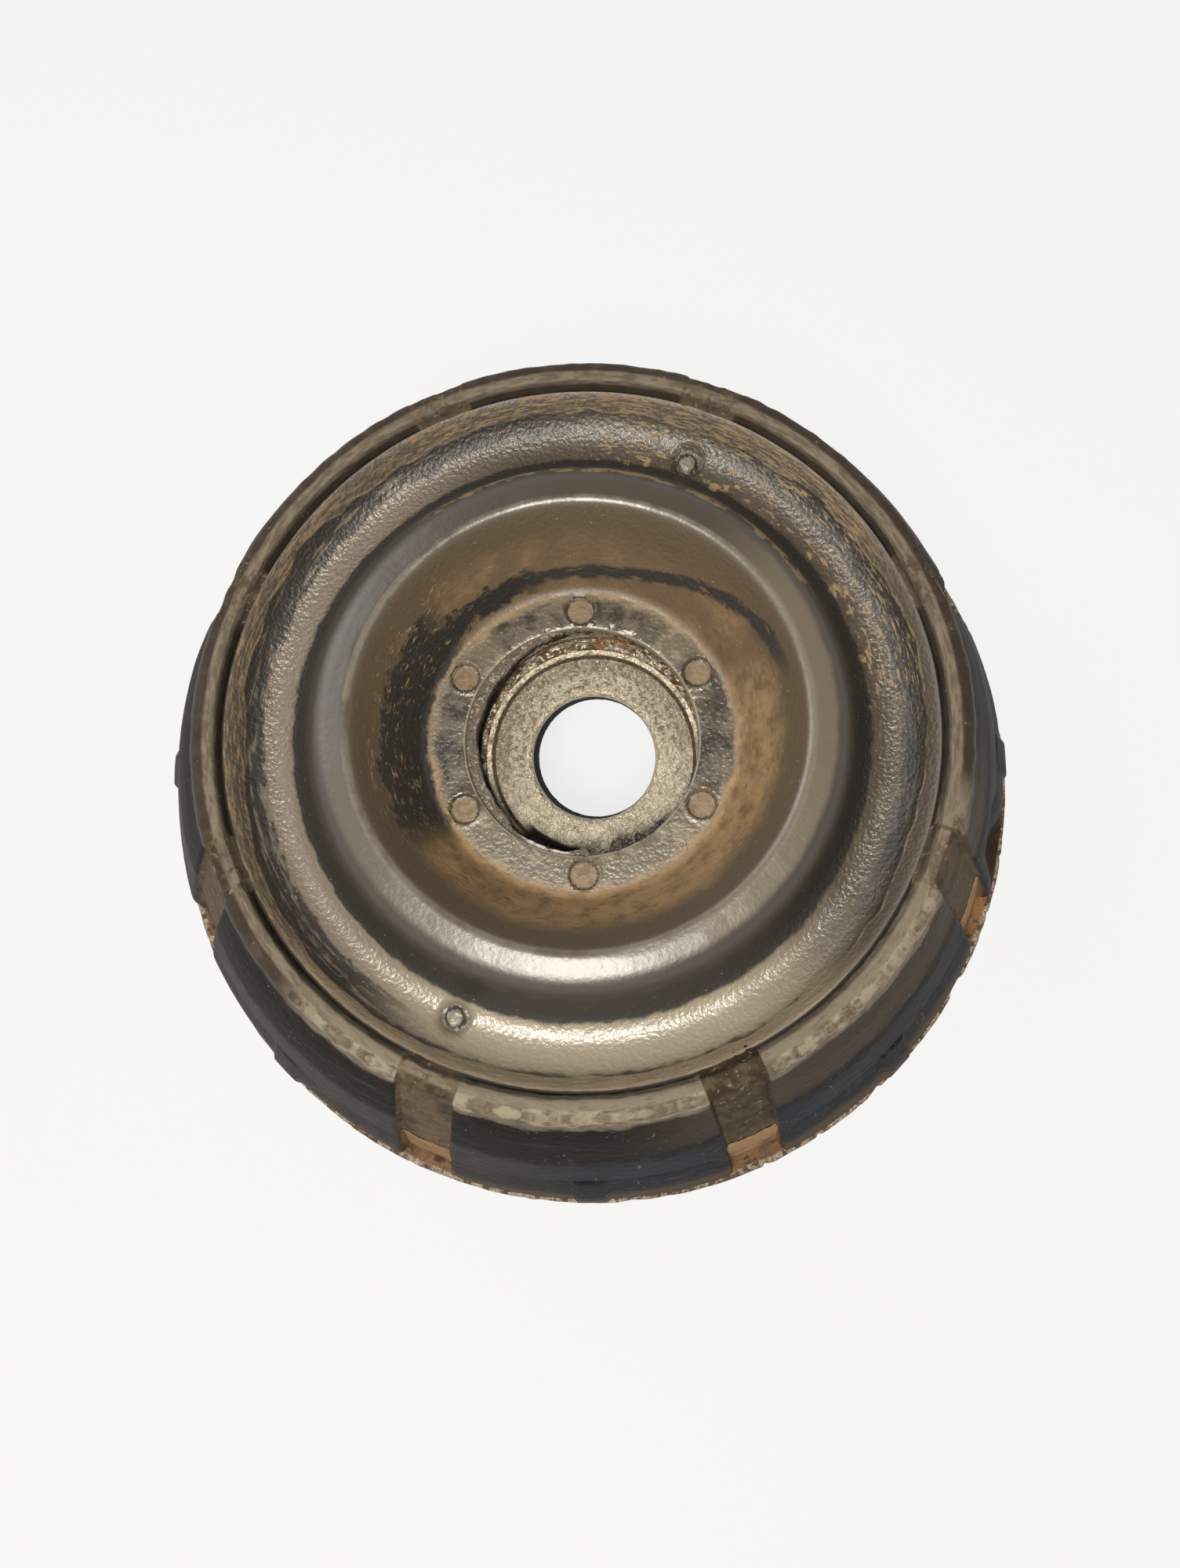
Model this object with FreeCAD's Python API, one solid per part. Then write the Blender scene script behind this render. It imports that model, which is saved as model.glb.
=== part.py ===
import FreeCAD, Part
import math
import os

# A round bonded mount, dish side up, in millimetres. A pressed steel dish lies in a rubber skin, a
# rubber wall with eight lobes carries it on a steel base ring, and a steel hub sits in a rubber web
# at its middle. The web is torn on one side, so the hub has sunk, slid and leaned over.
# +Z is up along the mount's axis, and the origin is the centre of the plane that it stands on.

# Base ring
flange_radius = 75.0
flange_width = 3.0
ring_sheet = 2.5
collar_height = 17.5
rubber_over_collar = 1.2

# Heights of the dish above the floor of its bowl, and the floor above the base
floor_height = 28.5
crest_rise = 14.7
crest_fall = 1.0
trough_root_rise = 2.0
trough_lip_rise = 12.5
lip_rise = 14.0

# Radial run of each part of the dish, from the middle outwards
floor_edge_radius = 18.8
floor_width = 6.6
bowl_run = 9.3
crest_width = 5.6
trough_inner_run = 7.1
trough_outer_run = 6.8
groove_run = 1.1
groove_depth = 0.8
lip_width = 3.0

# Corner radii of the dish
crest_bend = 1.6
trough_bend = 5.4
shoulder_bend = 3.0

# Sheet of the dish and the rubber on it
skin = 1.0
dish_sheet = 2.0
dish_setback = 1.6

# Outer wall, its lobes and its skirt
skirt_inset = 0.7
skirt_height = 18.4
skirt_run = 5.0
skirt_step = 0.5
skirt_bulge = 0.7
notch_count = 8
notch_start = 23.3
notch_width = 9.0
notch_depth = 1.3
nub_width = 5.6
nub_proud = 0.8
nub_foot_gap = 0.6

# Inner side of the wall, under the dish
wall_foot = 15.5
wall_slope_run = 10.0
wall_shoulder = 25.0
wall_ground_gap = 1.0

# Marks left by the mould in the dish
pin_count = 6
pin_start = 31.0
pin_inset = 3.1
pin_radius = 2.3
dimple_angles = (67.4, 247.4)
dimple_radius = 2.6
dimple_depth = 0.8
dimple_boss_radius = 1.3

# Web round the hub, and its tear
ledge_width = 1.8
ledge_drop = 0.8
ledge_depth = 3.9
web_depth = 16.0
web_foot_width = 5.2
web_bore = 14.0
web_bore_height = 5.5
tear_start = 100.0
tear_end = 275.0
tear_floor = 9.6
tear_reach = 2.4

# Hub, and how far it has sunk, slid and leaned
hub_clearance = 1.5
hub_flange = 5.0
hub_boss_radius = 13.5
hub_height = 10.4
bore_radius = 10.1
bore_chamfer = 1.0
bead_inset = 1.2
bead_width = 0.5
bead_height = 0.35
face_dish = 0.5
hub_chamfer = 0.7
hub_drop = 4.2
hub_slide = (1.75, -2.1)
hub_lean = 12.5
hub_lean_towards = -97.0

Vector = FreeCAD.Vector
up = Vector(0, 0, 1)
centre = Vector(0, 0, 0)


def corner_arc(before, corner, after):
    """Start, middle and end of the arc that rounds one corner of an outline."""
    here = Vector(corner[0], 0, corner[1])
    back = (Vector(before[0], 0, before[1]) - here).normalize()
    ahead = (Vector(after[0], 0, after[1]) - here).normalize()
    half = back.getAngle(ahead) / 2
    reach = corner[2] / math.tan(half)
    inward = (back + ahead).normalize()
    middle = here + inward * (corner[2] / math.sin(half) - corner[2])
    return here + back * reach, middle, here + ahead * reach


def outline(corners):
    """Closed wire in the XZ plane through (radius, height, rounding) corners."""
    edges = []
    last = None
    first = None
    count = len(corners)
    for index, corner in enumerate(corners):
        if corner[2] > 0:
            start, middle, end = corner_arc(corners[index - 1], corner, corners[(index + 1) % count])
        else:
            start = end = Vector(corner[0], 0, corner[1])
        if last is not None:
            edges.append(Part.LineSegment(last, start).toShape())
        if corner[2] > 0:
            edges.append(Part.Arc(start, middle, end).toShape())
        first = first or start
        last = end
    edges.append(Part.LineSegment(last, first).toShape())
    return Part.Wire(edges)


def turned(corners):
    """Solid made by turning a closed outline about the mount's axis."""
    return Part.Face(outline(corners)).revolve(centre, up, 360)


def beneath(path, depth):
    """The same path moved square to itself, down into the material, by a depth."""
    moved = []
    for index, corner in enumerate(path):
        here = Vector(corner[0], 0, corner[1])
        sides = []
        for a, b in ((index - 1, index), (index, index + 1)):
            if a >= 0 and b < len(path):
                run = Vector(path[b][0] - path[a][0], 0, path[b][1] - path[a][1]).normalize()
                sides.append(Vector(run.z, 0, -run.x))
        square = sides[0] if len(sides) == 1 else (sides[0] + sides[1]).normalize()
        place = here + square * (depth / square.dot(sides[0]))
        bend = corner[2]
        if bend > 0:
            hollow = sides[0].cross(sides[-1]).y < 0
            bend = bend + depth if hollow else max(bend - depth, 0)
            bend = bend if bend > skin else 0
        moved.append((place.x, place.z, bend))
    return moved


def spoke(width, angle, low, high):
    """Upright slab of one width that runs outwards from the axis at an angle."""
    slab = Part.makeBox(2 * flange_radius, width, high - low, Vector(0, -width / 2, low))
    slab.rotate(centre, up, angle)
    return slab


def sector(inner, outer, low, high, start, end):
    """Part of a flat ring between two angles."""
    piece = Part.makeCylinder(outer, high - low, Vector(0, 0, low), up, (end - start) % 360)
    piece = piece.cut(Part.makeCylinder(inner, high - low, Vector(0, 0, low), up))
    piece.rotate(centre, up, start)
    return piece


def around(angle, radius, height):
    """A point at a height above the base, by angle and radius."""
    turn = math.radians(angle)
    return Vector(radius * math.cos(turn), radius * math.sin(turn), height)


# Radii that follow from the runs
floor_radius = floor_edge_radius + floor_width
crest_inner = floor_radius + bowl_run
crest_outer = crest_inner + crest_width
trough_radius = crest_outer + trough_inner_run
groove_inner = trough_radius + trough_outer_run
lip_radius = groove_inner + groove_run
shoulder_radius = lip_radius + lip_width
skirt_foot = flange_radius - skirt_inset
skirt_top = skirt_foot - skirt_run
collar_foot = flange_radius - flange_width
collar_top = skirt_top - rubber_over_collar

# Heights above the base
crest_height = floor_height + crest_rise
trough_root = floor_height + trough_root_rise
groove_height = floor_height + trough_lip_rise
lip_height = floor_height + lip_rise


def dish_path():
    """Upper side of the dish, from the edge of its floor to the outer side of the trough."""
    return [
        (floor_edge_radius, floor_height, 0),
        (floor_radius, floor_height, 0),
        (crest_inner, crest_height, crest_bend),
        (crest_outer, crest_height - crest_fall, crest_bend),
        (trough_radius, trough_root, trough_bend),
        (groove_inner, groove_height, 0),
    ]


def skirt_middle():
    """Radius and height of the skirt where it bulges most."""
    return (skirt_top + skirt_foot) / 2 + skirt_bulge, (skirt_height + ring_sheet) / 2


def wall_path():
    """Lip, shoulder and outer wall of a lobe, down to the flange."""
    bulge_radius, bulge_height = skirt_middle()
    return [
        (groove_inner, groove_height, 0),
        (groove_inner + groove_run / 2, groove_height - groove_depth, 0),
        (lip_radius, lip_height, 0),
        (shoulder_radius, lip_height, shoulder_bend),
        (skirt_top, skirt_height, 0),
        (skirt_top - skirt_step, skirt_height - skirt_step, 0),
        (bulge_radius, bulge_height, 0),
        (skirt_foot, ring_sheet, 0),
    ]


def make_base_ring():
    """Pressed ring: a flat flange with a collar that leans in towards the top."""
    outside = [
        (flange_radius, ring_sheet, 0),
        (collar_foot, ring_sheet, 0),
        (collar_top, collar_height, 0),
    ]
    return turned(outside + beneath(outside, -ring_sheet)[::-1])


def make_dish():
    """Pressed dish plate, one sheet thick, that follows the rubber's surface beneath the skin."""
    path = dish_path()
    path[0] = (floor_edge_radius + dish_setback, floor_height, 0)
    slope = (groove_height - trough_root) / trough_outer_run
    path[-1] = (groove_inner - dish_setback, groove_height - dish_setback * slope, 0)
    return turned(beneath(path, skin) + beneath(path, skin + dish_sheet)[::-1])


def make_hub():
    """Turned hub, built upright at the middle and then moved to where it has settled."""
    radius = floor_edge_radius + dish_setback - hub_clearance
    bead = radius - bead_inset
    hub = turned([
        (bore_radius, -face_dish - bore_chamfer, 0),
        (bore_radius + bore_chamfer, -face_dish, 0),
        (bead - 2 * bead_width, -bead_height, 0),
        (bead - bead_width, 0, 0),
        (bead, 0, 0),
        (radius - hub_chamfer, -bead_height, 0),
        (radius, -bead_height - hub_chamfer, 0),
        (radius, -hub_flange, 0),
        (hub_boss_radius, -hub_flange, 0),
        (hub_boss_radius, -hub_height, 0),
        (bore_radius, -hub_height, 0),
    ])
    lean_axis = around(hub_lean_towards + 90, 1, 0)
    hub.rotate(centre, lean_axis, hub_lean)
    hub.translate(Vector(hub_slide[0], hub_slide[1], floor_height - hub_drop))
    return hub


def rubber_blank():
    """Whole moulding without notches and marks, still filled where the steel goes."""
    middle = beneath(dish_path(), skin + dish_sheet / 2)
    foot = skirt_foot - wall_foot
    web_foot = floor_edge_radius + web_foot_width
    ledge = floor_edge_radius - ledge_width
    web_low = floor_height - web_depth
    under = [
        (collar_foot, ring_sheet, 0),
        (collar_foot, wall_ground_gap, 0),
        (foot, wall_ground_gap, 0),
        (foot - wall_slope_run, wall_shoulder, 0),
    ]
    under += [(r, z, 0) for r, z, bend in middle[3:0:-1]]
    under += [
        (web_foot, web_low, 0),
        (web_bore, web_low, 0),
        (web_bore, web_low + web_bore_height, 0),
        (ledge, web_low + web_bore_height, 0),
        (ledge, floor_height - ledge_drop, 0),
        (floor_edge_radius, floor_height - ledge_drop, 0),
    ]
    return turned(dish_path()[:-1] + wall_path() + under)


def notch_space():
    """Ring of space that the notches let in, from the lip down to the flange."""
    return turned([
        (lip_radius + groove_run, lip_height + lip_width, 0),
        (lip_radius + groove_run, lip_height - groove_depth, 0),
        (shoulder_radius - notch_depth / 2, lip_height - shoulder_bend, 0),
        (collar_top, collar_height, 0),
        (collar_foot, ring_sheet, 0),
        (2 * flange_radius, ring_sheet, 0),
        (2 * flange_radius, lip_height + lip_width, 0),
    ])


def nub_ring():
    """Ring of rubber that stands proud of the skirt, from which the nubs are taken."""
    bulge_radius, bulge_height = skirt_middle()
    nub_top = skirt_height - skirt_step
    return turned([
        (collar_top, nub_top, 0),
        (skirt_top - skirt_step + nub_proud, nub_top, 0),
        (bulge_radius + nub_proud, bulge_height, 0),
        (skirt_foot + nub_proud / 2, ring_sheet + nub_foot_gap, 0),
        (skirt_foot, ring_sheet, 0),
        (collar_foot, ring_sheet, 0),
    ])


def make_rubber(dish, ring, hub):
    """Rubber moulding with its lobes, nubs, mould marks and torn web."""
    rubber = rubber_blank()
    pitch = 360 / notch_count
    notches = []
    nubs = []
    for index in range(notch_count):
        angle = notch_start + index * pitch
        notches.append(spoke(notch_width, angle, 0, lip_height + lip_width))
        nubs.append(spoke(nub_width, angle + pitch / 2, 0, skirt_height))
    rubber = rubber.fuse(nub_ring().common(Part.makeCompound(nubs))).removeSplitter()
    rubber = rubber.cut(notch_space().common(Part.makeCompound(notches)))

    marks = []
    for index in range(pin_count):
        foot = around(pin_start + index * 360 / pin_count, floor_edge_radius + pin_inset, floor_height - skin)
        marks.append(Part.makeCylinder(pin_radius, 2 * skin, foot, up))
    inner, root, outer = dish_path()[3:6]
    trough_floor = corner_arc(inner, root, outer)[1].z
    for angle in dimple_angles:
        foot = around(angle, trough_radius, trough_floor - dimple_depth)
        wide = dimple_radius + dimple_depth
        mark = Part.makeCone(dimple_radius, wide, 2 * dimple_depth, foot, up)
        boss = Part.makeCylinder(dimple_boss_radius, dimple_depth * 0.7, foot, up)
        marks.append(mark.cut(boss))

    top = floor_height + skin
    under_ledge = floor_height - ledge_depth
    whole = sector(web_bore, floor_edge_radius, floor_height - tear_floor, top, tear_end, tear_start)
    reach = floor_edge_radius + tear_reach
    hollow = sector(web_bore, reach, floor_height - tear_floor, under_ledge, tear_start, tear_end)
    rubber = rubber.cut(Part.makeCompound(marks))
    rubber = rubber.cut(whole).cut(hollow)
    return rubber.cut(dish).cut(ring).cut(hub)


def save(name, shape):
    """Write one piece to its own file."""
    print(name, shape.ShapeType, "solids", len(shape.Solids), "valid", shape.isValid(),
          "volume", round(shape.Volume, 1), "faces", len(shape.Faces))
    shape.exportStep("parts/%s.step" % name)


os.makedirs("parts", exist_ok=True)
base_ring = make_base_ring()
dish_plate = make_dish()
centre_hub = make_hub()
rubber_body = make_rubber(dish_plate, base_ring, centre_hub)
save("base_ring", base_ring)
save("dish_plate", dish_plate)
save("centre_hub", centre_hub)
save("rubber_body", rubber_body)
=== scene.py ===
import math
import bpy
import numpy as np
from mathutils import Matrix, Vector


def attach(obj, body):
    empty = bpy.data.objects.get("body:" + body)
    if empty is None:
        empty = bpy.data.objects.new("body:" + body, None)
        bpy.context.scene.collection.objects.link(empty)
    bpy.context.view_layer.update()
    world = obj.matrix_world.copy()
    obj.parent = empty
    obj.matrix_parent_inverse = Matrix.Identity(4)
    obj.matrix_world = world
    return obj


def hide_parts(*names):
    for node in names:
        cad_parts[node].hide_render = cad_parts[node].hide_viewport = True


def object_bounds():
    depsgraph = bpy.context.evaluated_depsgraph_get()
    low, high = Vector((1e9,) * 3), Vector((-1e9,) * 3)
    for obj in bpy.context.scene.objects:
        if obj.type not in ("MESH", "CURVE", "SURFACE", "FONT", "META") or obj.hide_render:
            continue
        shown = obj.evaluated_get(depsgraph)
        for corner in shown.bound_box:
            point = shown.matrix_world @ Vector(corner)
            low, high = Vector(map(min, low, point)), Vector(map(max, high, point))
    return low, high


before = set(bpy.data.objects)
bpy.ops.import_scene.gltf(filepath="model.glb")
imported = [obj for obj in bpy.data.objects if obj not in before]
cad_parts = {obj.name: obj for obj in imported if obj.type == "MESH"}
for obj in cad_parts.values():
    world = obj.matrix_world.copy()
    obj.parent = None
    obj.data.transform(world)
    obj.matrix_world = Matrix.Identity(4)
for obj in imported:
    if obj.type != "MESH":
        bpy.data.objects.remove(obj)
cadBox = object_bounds()
mm = 0.001

# Top of the dish, which the skin, the plate and the wall all follow: radius, height and bend in millimetres
floorHeight = 28.5
dishTop = [(18.8, floorHeight, 0), (25.4, floorHeight, 2.0), (34.7, 43.2, 1.6), (40.3, 42.2, 5.0),
           (47.4, 30.5, 5.4), (54.2, 41.0, 0)]


def selectOnly(piece):
    bpy.ops.object.select_all(action='DESELECT')
    piece.select_set(True)
    bpy.context.view_layer.objects.active = piece


def spinPiece(name, section, steps):
    # a closed section in the XZ plane, turned about the mount's axis: an eighth is spun, then doubled three times
    bpy.ops.object.select_all(action='DESELECT')
    bpy.ops.mesh.primitive_circle_add(vertices=len(section), radius=10 * mm)
    piece = bpy.context.object
    piece.name = piece.data.name = name
    for vertex, point in zip(piece.data.vertices, section):
        vertex.co = (point[0] * mm, 0, point[1] * mm)
    bpy.ops.object.mode_set(mode='EDIT')
    bpy.ops.mesh.select_all(action='SELECT')
    bpy.ops.mesh.spin(steps=steps // 8, angle=math.tau / 8, center=(0, 0, 0), axis=(0, 0, 1))
    for share in (8, 4, 2):
        bpy.ops.mesh.select_all(action='SELECT')
        bpy.ops.mesh.duplicate()
        bpy.ops.transform.rotate(value=math.tau / share, orient_axis='Z', center_override=(0, 0, 0))
    bpy.ops.mesh.select_all(action='SELECT')
    bpy.ops.mesh.remove_doubles(threshold=0.004 * mm)
    bpy.ops.mesh.normals_make_consistent(inside=False)
    bpy.ops.object.mode_set(mode='OBJECT')
    print("spun", name, len(piece.data.polygons), "faces")
    return piece


def roundedSection(corners, spacing, closed=False):
    # corners are (radius, height, bend); bends become arcs and straight runs get points in between
    points = []
    count = len(corners)
    for i, (r, z, bend) in enumerate(corners):
        here = Vector((r, z))
        if bend and (closed or 0 < i < count - 1):
            back = (Vector(corners[i - 1][:2]) - here).normalized()
            ahead = (Vector(corners[(i + 1) % count][:2]) - here).normalized()
            half = back.angle(ahead) / 2
            middle = here + (back + ahead).normalized() * bend / math.sin(half)
            arm = here + back * bend / math.tan(half) - middle
            sweep = math.pi - 2 * half
            turn = 1 if back.x * ahead.y - back.y * ahead.x < 0 else -1
            steps = max(2, round(bend * sweep / spacing))
            for k in range(steps + 1):
                points.append(middle + Matrix.Rotation(turn * sweep * k / steps, 2) @ arm)
        else:
            points.append(here)
    filled = []
    runs = list(zip(points, points[1:] + points[:1]))
    for a, b in runs if closed else runs[:-1]:
        pieces = max(1, round((b - a).length / spacing))
        filled += [a.lerp(b, k / pieces) for k in range(pieces)]
    if not closed:
        filled.append(points[-1])
    return [p for i, p in enumerate(filled) if i == 0 or (p - filled[i - 1]).length > 0.01]


def sunk(path, depth):
    # the same path moved square to itself, down into the material
    moved = []
    for i, (r, z, bend) in enumerate(path):
        sides = []
        for a, b in ((i - 1, i), (i, i + 1)):
            if a >= 0 and b < len(path):
                run = (Vector(path[b][:2]) - Vector(path[a][:2])).normalized()
                sides.append(Vector((run.y, -run.x)))
        square = (sides[0] + sides[-1]).normalized()
        place = Vector((r, z)) + square * depth / square.dot(sides[0])
        if bend:
            hollow = sides[0].x * sides[-1].y - sides[0].y * sides[-1].x > 0
            bend = max(bend + (depth if hollow else -depth), 0.3)
        moved.append((place.x, place.y, bend))
    return moved


def readPoints(piece):
    points = np.empty(len(piece.data.vertices) * 3)
    piece.data.vertices.foreach_get("co", points)
    return points.reshape(-1, 3) / mm


def writePoints(piece, points):
    piece.data.vertices.foreach_set("co", (points * mm).ravel())
    piece.data.update()


def toPolar(points):
    angle = np.arctan2(points[:, 1], points[:, 0]) % math.tau
    return angle, np.hypot(points[:, 0], points[:, 1]), points[:, 2].copy()


def fromPolar(angle, radius, height):
    return np.stack([radius * np.cos(angle), radius * np.sin(angle), height], 1)


def ragged(angle, seed, count):
    # an uneven value between -1 and 1 round the circle
    values = np.random.default_rng(seed).uniform(-1, 1, count)
    return np.interp(angle, np.arange(count) * math.tau / count, values, period=math.tau)


def step(value, low, high):
    t = np.clip((value - low) / (high - low), 0, 1)
    return t * t * (3 - 2 * t)


def within(angle, start, end, soft):
    # 1 between two directions in degrees, counted anticlockwise
    run = (end - start) % 360
    past = (np.degrees(angle) - start + 180 - run / 2) % 360 - 180 + run / 2
    return step(past, -soft, soft) * (1 - step(past, run - soft, run + soft))


def markAs(piece, name, values):
    piece.data.attributes.new(name, 'FLOAT', 'POINT').data.foreach_set("value", values.astype(np.float32))


def roughen(piece, name, size, height):
    # cloud-shaped grain in the mesh itself: size and height in millimetres
    texture = bpy.data.textures.new(name, 'CLOUDS')
    texture.noise_scale = size * mm
    modifier = piece.modifiers.new(name, 'DISPLACE')
    modifier.texture = texture
    modifier.texture_coords = 'LOCAL'
    modifier.strength = height * mm
    modifier.mid_level = 0.5
    selectOnly(piece)
    bpy.ops.object.modifier_apply(modifier=name)


def smoothPiece(piece, angle=38):
    selectOnly(piece)
    bpy.ops.object.shade_smooth_by_angle(angle=math.radians(angle))


def keepInside(piece):
    # the grain mustn't lift a piece out of the CAD model's box
    angle, radius, height = toPolar(readPoints(piece))
    low, high = np.array(cadBox) / mm
    writePoints(piece, fromPolar(angle, np.minimum(radius, high[0] - 0.01), np.clip(height, low[2], high[2])))


def around(angle, radius, height):
    turn = math.radians(angle)
    return Vector((radius * math.cos(turn), radius * math.sin(turn), height))


# Rubber skin of the dish, with the round marks of the mould in its floor and trough
skin = dict(spacing=0.5, columns=600, pins=6, pinStart=31.0, pinRing=21.9, pinR=2.3, pinDepth=0.85,
            dimples=(68.8, 247.4), dimpleRing=47.7, dimpleR=2.5, dimpleDepth=0.9, bossR=1.35, bossRise=0.75,
            film=0.14, filmR=52.2, wave=0.14, chip=0.9, burr=0.12)


def makeDishSkin():
    v = skin
    top = [(18.8, 25.6, 0), (18.8, floorHeight, 0.4)] + dishTop[1:-1]
    top += [(54.2, 41.0, 0.3), (54.75, 40.2, 0.2), (54.75, 39.3, 0)]
    under = sunk(dishTop, 1.6)[::-1]
    under[-1] = (20.9, 26.9, 0)
    section = roundedSection(top, v["spacing"]) + roundedSection(under + [(20.9, 25.6, 0)], 1.8)
    piece = spinPiece("dish_skin", section, v["columns"])
    points = readPoints(piece)
    angle, radius, height = toPolar(points)
    surface = height > np.interp(radius, [18, 26, 36, 40, 44, 47.4, 51, 56], [27.6, 28, 40, 40, 34.8, 33, 34.5, 39.8])
    # unevenness of the moulding, a ragged film of rubber inside the lip, and the chipped edge of the floor
    uneven = ragged(angle, 3, 18) + 0.4 * ragged(angle, 4, 60)
    height += v["wave"] * uneven * step(radius, 24, 32) * (1 - step(radius, 50, 54))
    edge = v["filmR"] + 0.45 * ragged(angle, 5, 22) + 0.3 * ragged(angle, 6, 110)
    film = np.where(surface, step(radius, edge - 0.05, edge + 0.4), 0)
    height += v["film"] * film * (1 - step(radius, 53.4, 54.0))
    chipped = np.clip(ragged(angle, 7, 90) - 0.35, 0, 1) * within(angle, 265, 115, 6)
    height -= np.where(surface, v["chip"] * chipped * (1 - step(radius, 18.8, 19.9)), 0)
    marks = np.zeros_like(radius)
    for k in range(v["pins"]):
        place = around(v["pinStart"] + 60 * k, v["pinRing"], 0)
        away = np.hypot(points[:, 0] - place.x, points[:, 1] - place.y)
        pit = 1 - step(away, v["pinR"] - 0.12, v["pinR"] + 0.18)
        burr = step(away, v["pinR"] + 0.1, v["pinR"] + 0.35) * (1 - step(away, v["pinR"] + 0.5, v["pinR"] + 0.95))
        height += np.where(surface, v["burr"] * burr - v["pinDepth"] * pit, 0)
        marks = np.maximum(marks, np.where(surface, 1 - step(away, v["pinR"] - 0.3, v["pinR"] - 0.1), 0))
    for a in v["dimples"]:
        place = around(a, v["dimpleRing"], 0)
        away = np.hypot(points[:, 0] - place.x, points[:, 1] - place.y)
        pit = 1 - step(away, v["dimpleR"] - 0.35, v["dimpleR"] + 0.45)
        boss = 1 - step(away, v["bossR"] - 0.2, v["bossR"] + 0.25)
        height += np.where(surface, v["bossRise"] * boss - v["dimpleDepth"] * pit, 0)
        marks = np.maximum(marks, np.where(surface, np.maximum(0.11 * pit, 0.5 * boss), 0))
    writePoints(piece, fromPolar(angle, radius, height))
    markAs(piece, "mark", marks)
    markAs(piece, "film", film)
    roughen(piece, "orangePeel", 1.0, 0.05)
    keepInside(piece)
    smoothPiece(piece)
    return piece


# Outer wall with its lobes, notches and nubs
wall = dict(lobes=8, notchStart=23.3, notchHalf=4.55, notchDepth=1.35, edge=0.35, nubHalf=2.8, nubProud=0.7,
            lipTop=42.5, bareBelow=17.5, lobeColumns=46, cutBack=(352.0, 2.2), mud=0.15, swell=0.35, setLeft=0.5,
            uneven=0.12, scuff=0.1)
edgeRuns = [0.0, 0.25, 0.5, 0.9, 1.5, 2.4]           # columns just outside a notch, in millimetres
edgeDepths = [0.6, 0.22, 0.07, 0.02, 0, 0]           # and how much of the notch's depth each one takes
notchShares = [-1, -0.78, -0.55, -0.33, -0.11, 0.11, 0.33, 0.55, 0.78, 1]


def placeColumn(k, half, pitchAngle, radius):
    # direction and share of the notch's depth for one of the columns of a lobe's pitch
    edges, shares, lobes = len(edgeRuns), len(notchShares), wall["lobeColumns"]
    if k < shares:
        return notchShares[k] * (half - wall["edge"] / radius), 1.0
    if k < shares + edges:
        return half + (edgeRuns[k - shares] - 0.1) / radius, edgeDepths[k - shares]
    if k < shares + edges + lobes:
        start = half + (edgeRuns[-1] - 0.1) / radius
        return start + (k - shares - edges + 1) / (lobes + 1) * (pitchAngle - 2 * start), 0.0
    e = shares + 2 * edges + lobes - 1 - k
    return pitchAngle - half - (edgeRuns[e] - 0.1) / radius, edgeDepths[e]


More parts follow.
